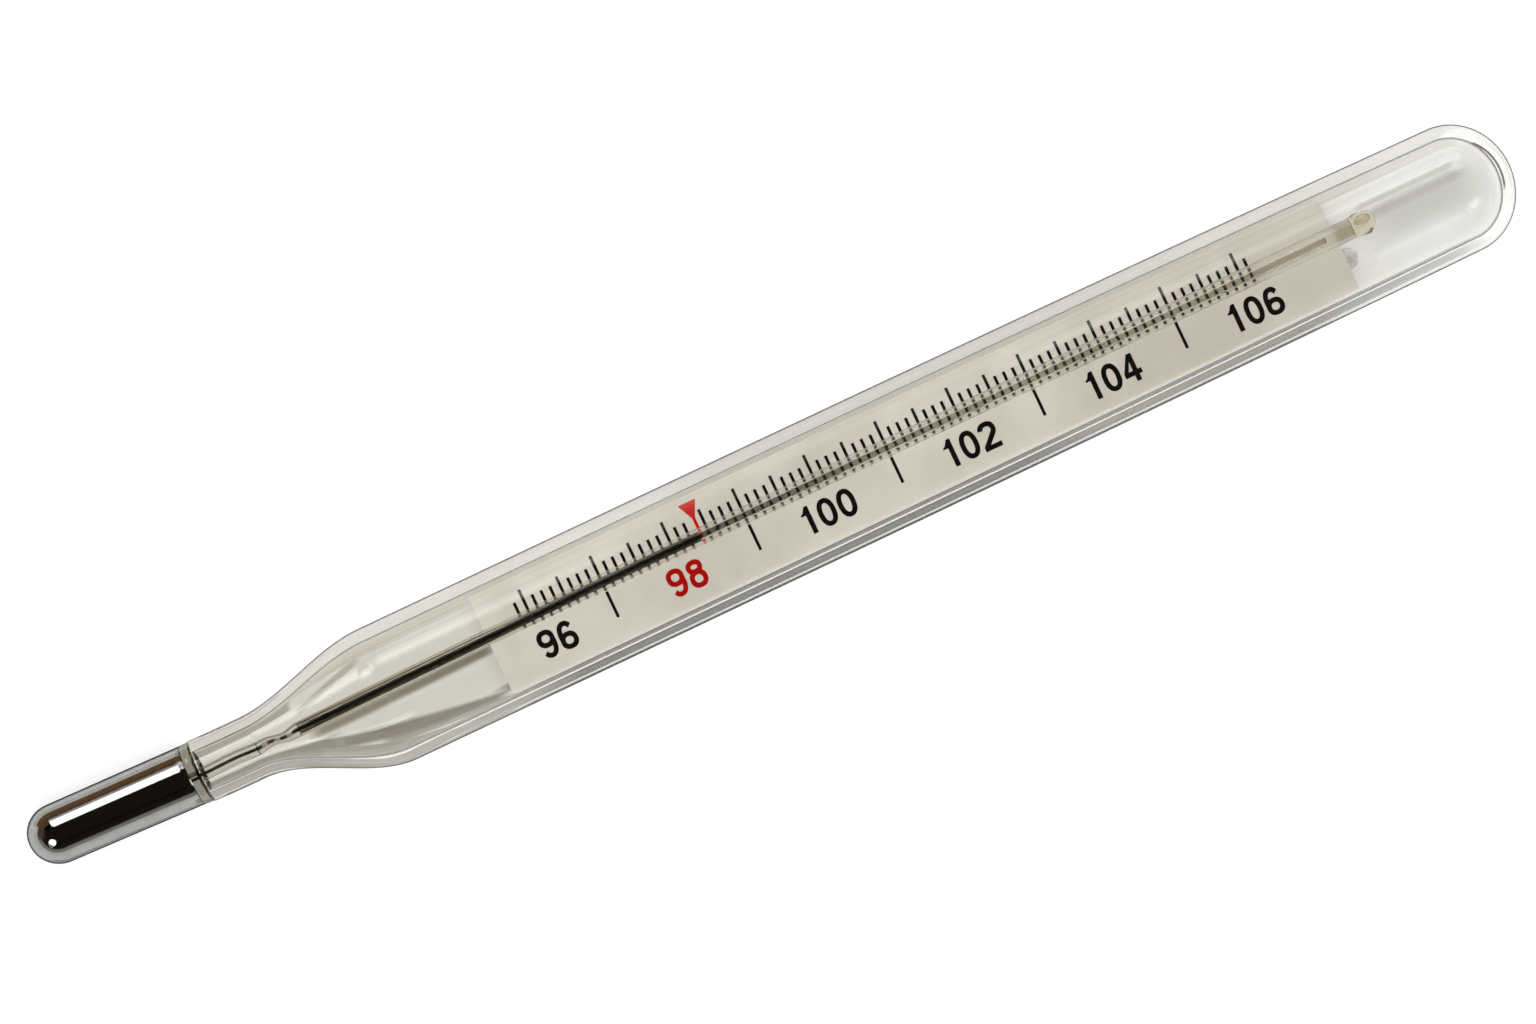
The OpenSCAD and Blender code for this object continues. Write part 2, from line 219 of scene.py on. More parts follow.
def tube(name, stations, radius, bore, centre_y):
    """A thin glass tube with open ends."""
    outside = [(x, radius(x)) for x in stations]
    inside = [(x, bore) for x in reversed(stations)]
    return lathe(name, outside + inside, centre_y, TUBE_SIDES, closed=True)


def hair(name, stations, radius, centre_y):
    """A very thin rod of mercury with flat ends."""
    length = [(x, radius(x)) for x in stations]
    return lathe(name, [(stations[0], 0)] + length + [(stations[-1], 0)], centre_y, HAIR_SIDES)


# Material builders

# Sockets of a colour mix, which share their names with the sockets of other kinds of mix
MIX_A, MIX_B, MIX_RESULT = 6, 7, 2


class Nodes:
    """A node tree under construction."""

    def __init__(self, tree, coords):
        self.tree = tree
        self.tree.nodes.clear()
        self.coords = self.add("ShaderNodeTexCoord").outputs[coords]

    def add(self, kind, **values):
        node = self.tree.nodes.new(kind)
        for key, value in values.items():
            setattr(node, key, value)
        return node

    def link(self, a, b):
        self.tree.links.new(a, b)

    def axis(self, letter, vector=None):
        """One component of the coordinates, or of another vector."""
        split = self.add("ShaderNodeSeparateXYZ")
        self.link(self.coords if vector is None else vector, split.inputs["Vector"])
        return split.outputs[letter]

    def noise(self, scale, detail, stretch=(1, 1, 1)):
        mapping = self.add("ShaderNodeMapping")
        mapping.inputs["Scale"].default_value = stretch
        self.link(self.coords, mapping.inputs["Vector"])
        node = self.add("ShaderNodeTexNoise")
        node.inputs["Scale"].default_value = scale
        node.inputs["Detail"].default_value = detail
        self.link(mapping.outputs["Vector"], node.inputs["Vector"])
        return node.outputs["Fac"]

    def ramp(self, value, *stops):
        """A colour ramp with stops in rising order, each a place from 0 to 1 and a colour."""
        node = self.add("ShaderNodeValToRGB")
        elements = node.color_ramp.elements
        while len(elements) < len(stops):
            elements.new(0.5)
        while len(elements) > len(stops):
            elements.remove(elements[-1])
        for element, (place, colour) in zip(elements, stops):
            element.position = place
            element.color = (*colour, 1)
        self.link(value, node.inputs["Fac"])
        return node.outputs["Color"]

    def remap(self, value, low, high, to_low, to_high, smooth=False):
        node = self.add("ShaderNodeMapRange")
        node.interpolation_type = "SMOOTHSTEP" if smooth else "LINEAR"
        for key, v in zip(("From Min", "From Max", "To Min", "To Max"), (low, high, to_low, to_high)):
            node.inputs[key].default_value = v
        self.link(value, node.inputs["Value"])
        return node.outputs["Result"]

    def math(self, operation, a, b=None):
        node = self.add("ShaderNodeMath", operation=operation)
        for socket, value in zip(node.inputs, (a, b)):
            if value is None:
                continue
            if isinstance(value, (int, float)):
                socket.default_value = value
            else:
                self.link(value, socket)
        return node.outputs["Value"]

    def mix_colours(self, share, a, b):
        """Goes from colour a to colour b as share grows; b is a socket or a fixed colour."""
        node = self.add("ShaderNodeMix", data_type="RGBA")
        self.link(share, node.inputs["Factor"])
        self.link(a, node.inputs[MIX_A])
        if isinstance(b, tuple):
            node.inputs[MIX_B].default_value = (*b, 1)
        else:
            self.link(b, node.inputs[MIX_B])
        return node.outputs[MIX_RESULT]

    def mix_shaders(self, share, a, b):
        node = self.add("ShaderNodeMixShader")
        self.link(share, node.inputs["Fac"])
        self.link(a, node.inputs[1])
        self.link(b, node.inputs[2])
        return node.outputs["Shader"]


class Shader(Nodes):
    """One node material under construction."""

    def __init__(self, name):
        self.material = bpy.data.materials.new(name)
        self.material.use_nodes = True
        super().__init__(self.material.node_tree, "Object")
        self.output = self.add("ShaderNodeOutputMaterial")

    def principled(self, **values):
        node = self.add("ShaderNodeBsdfPrincipled")
        for key, value in values.items():
            node.inputs[key.replace("_", " ")].default_value = value
        return node

    def bump(self, value, strength, depth):
        node = self.add("ShaderNodeBump")
        node.inputs["Strength"].default_value = strength
        node.inputs["Distance"].default_value = depth * MM
        self.link(value, node.inputs["Height"])
        return node.outputs["Normal"]

    def finish(self, shader):
        self.link(shader, self.output.inputs["Surface"])
        return self.material


def srgb(r, g, b):
    def linear(v):
        v /= 255
        return v / 12.92 if v <= 0.04045 else ((v + 0.055) / 1.055) ** 2.4

    return linear(r), linear(g), linear(b)


GLASS_IOR = 1.49
COAT_IOR = 1.8


def glass(name, tint=None, change=None, edge=None, wave=0.02, wave_scale=90, rough=0.006, coat=0.0,
          gloss=0.5):
    """Clear glass that lets light through to what is inside it, with a drawn surface that is slightly wavy.

    It has one tint, or several along its length: change is pairs of a station and a tint. edge is a line that
    is painted into the colour where the glass is seen at a grazing angle, a painted shade when it is dark and
    a painted
    highlight when it is pale: where it starts and is full, its colour, how much light it holds back, and two
    stations between which it grows from nothing. wave is the depth of the waves.
    """
    s = Shader(name)
    body = s.principled(IOR=GLASS_IOR, Transmission_Weight=1.0, Coat_Weight=coat, Coat_IOR=COAT_IOR,
                        Specular_IOR_Level=gloss)
    cloud = s.noise(220, 2)
    if change:
        first, last = change[0][0], change[-1][0]
        place = s.remap(s.axis("X"), first * MM, last * MM, 0, 1)
        place = s.math("ADD", place, s.remap(cloud, 0.3, 0.7, -0.02, 0.02))
        colour = s.ramp(place, *[((x - first) / (last - first), shade) for x, shade in change])
    else:
        faint = tuple(v * 0.96 for v in tint)
        colour = s.ramp(cloud, (0.35, faint), (0.65, tint))
    if edge:
        grazing = s.add("ShaderNodeLayerWeight").outputs["Facing"]
        line = s.remap(grazing, edge["start"], edge["full"], 0, 1, smooth=True)
        if "grows" in edge:
            x_none, x_full = edge["grows"]
            line = s.math("MULTIPLY", line, s.remap(s.axis("X"), x_none * MM, x_full * MM, 0, 1))
        # The edge line is painted into the glass's colour: painted shade where it is dark, a painted
        # highlight where it is pale
        colour = s.mix_colours(line, colour, edge["colour"])
        s.link(s.remap(line, 0, 1, 1.0, 1.0 - edge["held"]), body.inputs["Transmission Weight"])
        s.link(s.remap(line, 0, 1, gloss, 0.0), body.inputs["Specular IOR Level"])
    s.link(colour, body.inputs["Base Color"])
    s.link(s.remap(s.noise(700, 4), 0.45, 0.75, 0.0, rough), body.inputs["Roughness"])
    if wave:
        s.link(s.bump(s.noise(wave_scale, 2, (0.25, 1, 1)), 1.0, wave), body.inputs["Normal"])
    clear = s.add("ShaderNodeBsdfTransparent")
    shadow = s.add("ShaderNodeLightPath").outputs["Is Shadow Ray"]
    return s.finish(s.mix_shaders(shadow, body.outputs["BSDF"], clear.outputs["BSDF"]))


# Painted highlight on the mercury thread, a bright line painted into its colour: the sideways part of the
# normal where it lies, how far from there it is full and ends, its colour, and how it grows faint along the
# length; and the dark tint of the thread's rims
HIGHLIGHT_SIDE = 0.8
HIGHLIGHT_FULL = 0.06
HIGHLIGHT_GONE = 0.12
HIGHLIGHT_COLOUR = (0.95, 0.94, 0.92)
X_HIGHLIGHT_END = -22
HIGHLIGHT_FADE = 3
HIGHLIGHT_FAINT = 0.15
THREAD_RIM = (0.1, 0.1, 0.1, 1)


def painted_highlight(s):
    """How much of the painted highlight shows; it is on the upper side only."""
    normal = s.add("ShaderNodeTexCoord").outputs["Normal"]
    away = s.math("ABSOLUTE", s.math("SUBTRACT", s.axis("Y", normal), HIGHLIGHT_SIDE))
    upper = s.math("GREATER_THAN", s.axis("Z", normal), 0.0)
    line = s.math("MULTIPLY", s.remap(away, HIGHLIGHT_FULL, HIGHLIGHT_GONE, 1.0, 0.0), upper)
    fade = s.remap(s.axis("X"), X_HIGHLIGHT_END * MM, (X_HIGHLIGHT_END + HIGHLIGHT_FADE) * MM, 1.0, HIGHLIGHT_FAINT)
    return s.math("MULTIPLY", line, fade)


def mercury(name, colour, rough, is_thread=False):
    """Liquid metal; a thread of it is dark at its rims and carries a painted highlight, a bright line painted
    into its colour.
    """
    s = Shader(name)
    body = s.principled(Metallic=1.0, Specular_IOR_Level=0.5)
    dull = tuple(v * 0.9 for v in colour)
    shade = s.ramp(s.noise(900, 3), (0.4, dull), (0.6, colour))
    if is_thread:
        body.inputs["Specular Tint"].default_value = THREAD_RIM
        # Painted highlight: a bright line painted into the thread's colour
        shade = s.mix_colours(painted_highlight(s), shade, HIGHLIGHT_COLOUR)
    s.link(shade, body.inputs["Base Color"])
    s.link(s.remap(s.noise(1600, 2), 0.4, 0.7, rough * 0.5, rough), body.inputs["Roughness"])
    return s.finish(body.outputs["BSDF"])


def ink(name, colour, pale):
    """Printed ink, a little thin and broken in places."""
    s = Shader(name)
    body = s.principled(Specular_IOR_Level=0.2)
    s.link(s.ramp(s.noise(5200, 4), (0.5, colour), (0.78, pale)), body.inputs["Base Color"])
    s.link(s.remap(s.noise(3000, 3), 0.3, 0.7, 0.45, 0.7), body.inputs["Roughness"])
    s.link(s.bump(s.noise(9000, 2), 0.3, 0.01), body.inputs["Normal"])
    return s.finish(body.outputs["BSDF"])


def plate_material(name, pale, warm):
    """Pale enamel with warm clouds, which grow towards the upper end."""
    s = Shader(name)
    body = s.principled()
    faded = s.remap(s.axis("X"), X_PLATE * MM, X_PLATE_END * MM, -0.08, 0.12)
    clouds = s.math("SUBTRACT", s.noise(160, 5), faded)
    s.link(s.ramp(clouds, (0.3, warm), (0.62, pale)), body.inputs["Base Color"])
    s.link(s.remap(s.noise(500, 3), 0.3, 0.7, 0.4, 0.6), body.inputs["Roughness"])
    s.link(s.bump(s.noise(4000, 3), 0.25, 0.01), body.inputs["Normal"])
    return s.finish(body.outputs["BSDF"])


# How far from its middle the cement is full and ends, and how ragged its edge is
CEMENT_FULL = 0.3
CEMENT_GONE = 1.1
CEMENT_RAGGED = 0.15


def cement_material():
    """A dab of cement that thins out towards a ragged edge."""
    s = Shader("cement_looks")
    body = s.principled(Subsurface_Weight=0.2)
    colour = s.ramp(s.noise(2500, 4), (0.3, srgb(132, 116, 96)), (0.7, srgb(170, 155, 134)))
    s.link(colour, body.inputs["Base Color"])
    middle = s.add("ShaderNodeVectorMath", operation="DISTANCE")
    s.link(s.coords, middle.inputs[0])
    middle.inputs[1].default_value = [(a + b) / 2 for a, b in zip(*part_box("plate_cement"))]
    ragged = s.remap(s.noise(1500, 3), 0.3, 0.7, -CEMENT_RAGGED * MM, CEMENT_RAGGED * MM)
    away = s.math("ADD", middle.outputs["Value"], ragged)
    cover = s.remap(away, CEMENT_FULL * MM, CEMENT_GONE * MM, 0.95, 0.0, smooth=True)
    s.link(cover, body.inputs["Alpha"])
    s.link(s.remap(s.noise(1800, 3), 0.3, 0.7, 0.3, 0.55), body.inputs["Roughness"])
    s.link(s.bump(s.noise(3000, 4), 0.6, 0.08), body.inputs["Normal"])
    return s.finish(body.outputs["BSDF"])


# Glass of the sheath, with the outer and the inner wall apart, because their painted dark edge lines differ
SHEATH_TINT = (0.845, 0.831, 0.784)
PALE_TINT = (0.93, 0.93, 0.91)
sheath_tints = [(-45, SHEATH_TINT), (38, SHEATH_TINT), (50, PALE_TINT)]
outer_painted_edge_shade = dict(start=0.72, full=0.86, colour=(0.14, 0.125, 0.11), held=1.0, grows=(-44.3, -43.3))
inner_painted_edge_shade = dict(start=0.60, full=0.78, colour=(0.055, 0.042, 0.03), held=1.0, grows=(-44.5, -43.3))
sheath_glass = glass("sheath_glass_looks", change=sheath_tints, edge=outer_painted_edge_shade)
inner_glass = glass("inner_wall_looks", change=sheath_tints, edge=inner_painted_edge_shade)

# Glass of the bulb, with a painted dark edge line, and the weld
bulb_painted_edge_shade = dict(start=0.54, full=0.76, colour=(0.04, 0.04, 0.055), held=0.95)
bulb_glass = glass("bulb_glass_looks", PALE_TINT, edge=bulb_painted_edge_shade, wave=0, gloss=0.1)
weld_glass = glass("weld_glass_looks", (0.32, 0.32, 0.25), wave=0.05, wave_scale=900, rough=0.05)

# Glass of the thin tubes, with pale lines painted at a grazing angle as a painted highlight, of the empty
# bore above the column, tinted dark as painted shade that grows lighter towards the top, and of the bead
TUBE_TINT = (0.94, 0.92, 0.86)
LOW_TINT = (0.79, 0.73, 0.60)
CLEAR_TINT = (0.95, 0.93, 0.88)
BURNT_TINT = (0.64, 0.56, 0.42)
tube_tints = [
    (-45, CLEAR_TINT), (-37.5, CLEAR_TINT), (-36, LOW_TINT), (-24, LOW_TINT), (-12, TUBE_TINT),
    (10, TUBE_TINT), (34, CLEAR_TINT), (43.6, CLEAR_TINT), (44.6, BURNT_TINT), (45.5, BURNT_TINT)]
# Pale lines painted into the tubes' glass at a grazing angle: a painted highlight
tube_painted_edge_highlight = dict(start=0.20, full=0.45, colour=(0.93, 0.92, 0.88), held=0.6, grows=(-24, 34))
tube_glass = glass("capillary_glass_looks", change=tube_tints, edge=tube_painted_edge_highlight, wave=0, coat=1.0)
# Dark tint of the empty bore: painted shade
bore_shade_tints = [
    (-8, (0.28, 0.27, 0.245)), (-1, (0.30, 0.29, 0.265)), (15, (0.58, 0.56, 0.51)),
    (28, (0.62, 0.60, 0.54)), (42, (0.70, 0.68, 0.62))]
bore_shade_glass = glass("painted_bore_shade_looks", change=bore_shade_tints, wave=0)
bead_glass = glass("bead_glass_looks", (0.90, 0.85, 0.70), wave=0.1, wave_scale=1200, rough=0.08)

bulb_metal = mercury("bulb_mercury_looks", (0.40, 0.395, 0.385), 0.025)
column_metal = mercury("column_mercury_looks", (0.13, 0.125, 0.12), 0.03, is_thread=True)
black_ink = ink("black_ink_looks", srgb(9, 8, 8), srgb(34, 30, 27))
red_ink = ink("red_ink_looks", srgb(184, 10, 7), srgb(196, 34, 24))
pointer_ink = ink("pointer_ink_looks", srgb(216, 14, 2), srgb(222, 40, 14))

# Pieces that are drawn anew


def dress(obj, body, material, node):
    obj.data.materials.clear()
    obj.data.materials.append(material)
    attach(obj, body)
    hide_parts(node)
    return obj


# Sheath
OVAL_SIDES = 144
DOME_STEPS = 24
FLAT_ROUNDING = 0.006
SOFT_CREASE = 40


def oval(x, y, w, h, flat):
    """A ring of the sheath; the outer wall has a flat back with softly rounded edges."""
    points = []
    for k in range(OVAL_SIDES):
        a = 2 * math.pi * (k + 0.5) / OVAL_SIDES
        z = AXIS_Z + h * math.sin(a)
        if flat:
            z = (z + math.sqrt(z * z + FLAT_ROUNDING)) / 2
        points.append((x, y + w * math.cos(a), z))
    return points


def sheath_rings(inset):
    """Rings from the neck to the dome's pole: inset is 0 for the outer wall and 1 for the inner one."""
    flat = inset == 0
    stations = along(X_NECK, X_SHOULDER, 6)
    stations += along(X_SHOULDER, X_BODY, 48)[1:]
    stations += along(X_BODY, X_DOME, 30)[1:]
    rings = []
    for x in stations:
        step_in = inset * wall(x)
        rings.append(oval(x, sheath_y(x), half_w(x) - step_in, half_h(x) - step_in, flat))
    height = DOME_LENGTH - inset * BODY_WALL
    w = half_w(X_DOME) - inset * BODY_WALL
    h = half_h(X_DOME) - inset * BODY_WALL
    for a in quarter_turns(1, DOME_STEPS):
        rings.append(oval(X_DOME + height * math.sin(a), 0, w * math.cos(a), h * math.cos(a), flat))
    rings.append([(X_DOME + height, 0, AXIS_Z)])
    return rings


def make_sheath():
    points, faces = [], []
    outer, inner = sheath_rings(0), sheath_rings(1)
    ring_skin(list(reversed(outer)) + inner, points, faces)
    return make_object("sheath", points, faces, SOFT_CREASE)


sheath = dress(make_sheath(), ROOT, sheath_glass, "glass_sheath")
sheath.data.materials.append(inner_glass)
outer_points = len(sheath.data.vertices) // 2
for polygon in sheath.data.polygons:
    if min(polygon.vertices) >= outer_points:
        polygon.material_index = 1

# Bulb and its filling, which stands a little into the glass so that no gap shows
BULB_SIDES = 96
BULB_TAPER = 0.006
BULB_SWELL = 0.03
FILL_OVERLAP = 0.012
FILL_ROUND = 0.07
FUSED_LENGTH = 0.22
FUSED_GAP = 0.01
X_FUSED = X_WELD + FUSED_LENGTH


def bulb_axis(x):
    return AXIS_Y + lean(x)


def bulb_r(x):
    return BULB_R + BULB_TAPER * (x - X_WELD) + BULB_SWELL


def bulb_profile(inset, end):
    """The round finger of the bulb from its tip, or the space inside it."""
    x0 = X_TIP + BULB_R
    r = BULB_R - inset
    grown = bulb_r(x0) - BULB_R
    nose = [(x0 - r * math.cos(a), r * math.sin(a) + grown * math.sin(a) ** 2) for a in quarter_turns(0, 20)]
    return nose + [(x, bulb_r(x) - inset) for x in along(x0, end, 24)]


bulb_wall = bulb_profile(0, X_FUSED) + list(reversed(bulb_profile(BULB_WALL, X_FUSED)))
bulb = lathe("bulb", bulb_wall, bulb_axis, BULB_SIDES)
dress(bulb, ROOT, bulb_glass, "bulb_shell")

fill_end = X_FUSED - FILL_ROUND
fill_r = bulb_r(fill_end) - BULB_WALL + FILL_OVERLAP
fill_top = [(fill_end + 0.04, fill_r - 0.02), (X_FUSED - 0.015, fill_r - 0.08), (X_FUSED - FUSED_GAP, 0)]
fill_profile = bulb_profile(BULB_WALL - FILL_OVERLAP, fill_end) + fill_top
filling = lathe("bulb_filling", fill_profile, bulb_axis, BULB_SIDES)
dress(filling, ROOT, bulb_metal, "bulb_mercury")

# Weld, where bulb, neck and stem are fused; it bulges a little outside and narrows to the stem inside
STEM_R = 0.5
STEM_BORE = 0.08
STEM_SEAT = 0.36
WELD_HOLE = 0.1
X_STEM = X_NECK - STEM_SEAT
weld_r = bulb_r(X_WELD)
weld_outside = [
    (X_FUSED + FUSED_GAP, WELD_HOLE), (X_FUSED + FUSED_GAP, weld_r), (X_FUSED + 0.25, weld_r + 0.03),
    (X_FUSED + 0.45, weld_r + 0.02), (X_NECK - FUSED_GAP, NECK_R)]
weld_inside = [
    (X_NECK - FUSED_GAP, NECK_R - NECK_WALL), (X_NECK - 0.2, 1.35), (X_NECK - 0.32, 1.0), (X_STEM, STEM_R),
    (X_STEM, WELD_HOLE)]
weld = lathe("weld", weld_outside + weld_inside, bulb_axis, BULB_SIDES, closed=True)
dress(weld, ROOT, weld_glass, "weld_ring")

# Stem, a thin tube that wavers a little on its way up the neck
STEM_Y = 0.47
STEM_WAVER = 0.06
STEM_WAVER_TURN = 0.9
STEM_WAVER_START = 3
HAIR_OVERLAP = 0.004


def stem_y(x):
    u = x - X_NECK
    return STEM_Y + STEM_WAVER * math.sin(u * STEM_WAVER_TURN) * ease(u / STEM_WAVER_START)


stem = tube("stem", along(X_STEM, X_PINCH, 20), lambda x: STEM_R, STEM_BORE, stem_y)
dress(stem, ROOT, tube_glass, "stem_tube")
stem_hair = hair("stem_hair", along(X_WELD, X_PINCH, 24), lambda x: STEM_BORE + HAIR_OVERLAP, stem_y)
dress(stem_hair, ROOT, column_metal, "stem_mercury")

# Pinch between the stem and the capillary, with mercury that parts into short lengths, joined by finer ones
CAPILLARY_R = 0.53
PINCH_BORE = 0.12
PINCH_KINK = 0.1
PINCH_DEPTH = 0.17
FINE_SHARE = 0.25
THICK_SHARE = 0.72
BREAK_TURN = 6.4
BREAK_PHASE = 0.9
BREAK_STEEPNESS = 1.4


def pinch_share(x):
    return unit((x - X_PINCH) / (X_CAPILLARY - X_PINCH))


def pinch_y(x):
    u = pinch_share(x)
    start, finish = stem_y(X_PINCH), capillary_y(X_CAPILLARY)
    kink = PINCH_KINK * math.sin(2 * math.pi * u) * math.sin(math.pi * u)
    return start + (finish - start) * ease(u) + kink


def pinch_r(x):
    u = pinch_share(x)
    return STEM_R + (CAPILLARY_R - STEM_R) * u - PINCH_DEPTH * math.sin(math.pi * u) ** 2


def broken_r(x):
    wave = math.sin(BREAK_TURN * (x - X_PINCH) + BREAK_PHASE)
    return PINCH_BORE * (FINE_SHARE + THICK_SHARE * ease(0.5 + BREAK_STEEPNESS * wave))


pinch = tube("pinch", along(X_PINCH, X_CAPILLARY, 28), pinch_r, PINCH_BORE, pinch_y)
dress(pinch, ROOT, tube_glass, "constriction")
pinch_hair = hair("pinch_hair", along(X_PINCH, X_CAPILLARY, 90), broken_r, pinch_y)
dress(pinch_hair, ROOT, column_metal, "constriction_mercury")

# Capillary with its bore, which looks a little wider below the plate
CAPILLARY_GROWTH = 0.22
BORE = 0.22
BORE_WIDENING = 0.03
BORE_MARGIN = 0.05
X_BORE_WIDENS = -20
BORE_EASE = 3
BORE_STOP = 2.0
X_BORE_END = X_SEAL - BORE_STOP
X_BORE_ROUND = X_BORE_END - BORE
CAPILLARY_SIDES = 64


def capillary_r(x):
    return CAPILLARY_R + CAPILLARY_GROWTH * (x - X_CAPILLARY) / (X_SEAL - X_CAPILLARY)


def bore_r(x):
    return BORE + BORE_WIDENING * ease((X_BORE_WIDENS - x) / BORE_EASE)


tube_stations = along(X_CAPILLARY, X_SEAL, 100)
capillary_outside = [(X_SEAL, 0)] + [(x, capillary_r(x)) for x in reversed(tube_stations)]
capillary_bore = [(x, bore_r(x)) for x in tube_stations if x < X_BORE_ROUND]
capillary_bore += round_end(X_BORE_ROUND, BORE, BORE, 6)
capillary = lathe("capillary", capillary_outside + capillary_bore, capillary_y, CAPILLARY_SIDES)
dress(capillary, ROOT, tube_glass, "capillary_tube")
# The bore's walls get the dark tint, a painted shade
capillary.data.materials.append(bore_shade_glass)
for polygon in capillary.data.polygons:
    x, y, z = (v / MM for v in polygon.center)
    if x < X_BORE_END and math.hypot(y - capillary_y(x), z - AXIS_Z) < BORE + BORE_MARGIN:
        polygon.material_index = 1

# Column: a thread, and the top that moves
THREAD_SIDES = 32
THREAD_ROUND = 0.1
MENISCUS_ROUND = 0.13


def thread_r(x):
    return bore_r(x) + HAIR_OVERLAP


thread_start = [
    (X_CAPILLARY + THREAD_ROUND * (1 - math.cos(a)), thread_r(X_CAPILLARY) * math.sin(a))
    for a in quarter_turns(0, 6)]
thread_length = [(x, thread_r(x)) for x in along(X_CAPILLARY + THREAD_ROUND, X_MENISCUS, 60)]
thread = lathe("thread", thread_start + thread_length + [(X_MENISCUS, 0)], capillary_y, THREAD_SIDES)
thread.data.materials.append(column_metal)
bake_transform(thread)
thread.visible_shadow = False
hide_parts("mercury_thread")

top_r = BORE + HAIR_OVERLAP
x_round = X_COLUMN_TOP - MENISCUS_ROUND
top_profile = [(X_MENISCUS, 0)] + [(x, top_r) for x in along(X_MENISCUS, x_round, 8)]
top_profile += round_end(x_round, top_r, MENISCUS_ROUND, 8)
column_top = lathe("column_top", top_profile, capillary_y, THREAD_SIDES)
dress(column_top, COLUMN, column_metal, "mercury_meniscus")
column_top.visible_shadow = False

# Melted bead at the upper end, a little uneven, with a flat bubble shut in it
BEAD_R = 0.85
BEAD_ROUND = 0.95
BEAD_UNEVEN = 0.05
BEAD_TWIST = 5.1
BEAD_LOBES = 3
BUBBLE_HALF_LENGTH = 0.55
BUBBLE_R = 0.26
BUBBLE_FLATNESS = 0.4
BUBBLE_SHIFT = (0.85, 0.2, 0.28)
BUBBLE_SIDES = 32


def uneven(x, y, z):
    turn = math.atan2(z - AXIS_Z, y - AXIS_Y)
    share = 1 + BEAD_UNEVEN * math.sin(BEAD_TWIST * x + BEAD_LOBES * turn)
    return x, AXIS_Y + (y - AXIS_Y) * share, AXIS_Z + (z - AXIS_Z) * share


def bubble_ring(a):
    """A ring of the bubble, turned about the capillary's axis, flattened and shifted to its place."""
    shift_x, shift_y, shift_z = BUBBLE_SHIFT
    station = X_SEAL + shift_x - BUBBLE_HALF_LENGTH * math.cos(a)
    ring = circle(station, BUBBLE_R * math.sin(a), capillary_y, BUBBLE_SIDES)
    return [(x, y + shift_y, AXIS_Z + shift_z + (z - AXIS_Z) * BUBBLE_FLATNESS) for x, y, z in ring]


def make_bead():
    x_start = X_SEAL + FUSED_GAP
    x_end, r_end = X_SEAL + BEAD_ROUND, BEAD_R - 0.01
    profile = [(x_start, 0), (x_start, 0.72), (X_SEAL + 0.25, 0.8), (X_SEAL + 0.6, BEAD_R), (x_end, r_end)]
    profile += round_end(x_end, r_end, X_SEAL_END - x_end, 14)
    points, faces = [], []
    ring_skin([circle(x, r, capillary_y, CAPILLARY_SIDES) for x, r in profile], points, faces)
    points = [uneven(*point) for point in points]
    ring_skin([bubble_ring(a) for a in along(0, math.pi, 14)], points, faces)
    return make_object("bead", points, faces, SOFT_CREASE)


dress(make_bead(), ROOT, bead_glass, "capillary_seal")

# CAD nodes that stay, with their own looks
PLATE_BEVEL = 0.1


def dress_node(name, material):
    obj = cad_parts[name]
    obj.data.materials.clear()
    obj.data.materials.append(material)
    return obj


plate_looks = plate_material("scale_plate_looks", srgb(246, 241, 232), srgb(226, 220, 210))
plate = dress_node("scale_plate", plate_looks)
# The bevelled edges get a whiter enamel, a painted highlight where they catch the light
plate.data.materials.append(plate_material("plate_edge_highlight_looks", srgb(252, 250, 245), srgb(246, 242, 234)))
bevel = plate.modifiers.new("edges", "BEVEL")
bevel.width = PLATE_BEVEL * MM
bevel.segments = 3
bevel.material = 1
dress_node("plate_cement", cement_material())
red_inks = {"numeral_98": red_ink, "normal_mark": pointer_ink}
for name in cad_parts:
    if name in red_inks:
        dress_node(name, red_inks[name])
    elif name.startswith("numeral") or name.endswith("marks") or name == "odd_degree_lines":
        dress_node(name, black_ink)

# Floor: white paper, with a glow for the camera, for reflections and for what shows through the glass
FLOOR_SIZE = 4000
FLOOR_Z = -0.1
FLOOR_GLOW = 0.6
FLOOR_COLOUR = 0.46


def stage_plane(name, size_x, size_y):
    mesh = bpy.data.meshes.new(name)
    x, y = size_x / 2 * MM, size_y / 2 * MM
    mesh.from_pydata([(-x, -y, 0), (x, -y, 0), (x, y, 0), (-x, y, 0)], [], [(0, 1, 2, 3)])
    obj = bpy.data.objects.new(name, mesh)
    bpy.context.scene.collection.objects.link(obj)
    return obj


def floor_material():
    s = Shader("floor_looks")
    paper = s.add("ShaderNodeBsdfDiffuse")
    shades = [(0.3, (FLOOR_COLOUR * 0.98,) * 3), (0.7, (FLOOR_COLOUR,) * 3)]
    s.link(s.ramp(s.noise(40, 3), *shades), paper.inputs["Color"])
    glow = s.add("ShaderNodeEmission")
    glow.inputs["Strength"].default_value = FLOOR_GLOW
    both = s.add("ShaderNodeAddShader")
    s.link(paper.outputs["BSDF"], both.inputs[0])
    s.link(glow.outputs["Emission"], both.inputs[1])
    path = s.add("ShaderNodeLightPath")
    seen = s.math("MAXIMUM", path.outputs["Is Camera Ray"], path.outputs["Is Glossy Ray"])
    seen = s.math("MAXIMUM", seen, path.outputs["Is Transmission Ray"])
    return s.finish(s.mix_shaders(seen, paper.outputs["BSDF"], both.outputs["Shader"]))


floor = stage_plane("floor", FLOOR_SIZE, FLOOR_SIZE)
floor.location.z = FLOOR_Z * MM
floor.data.materials.append(floor_material())

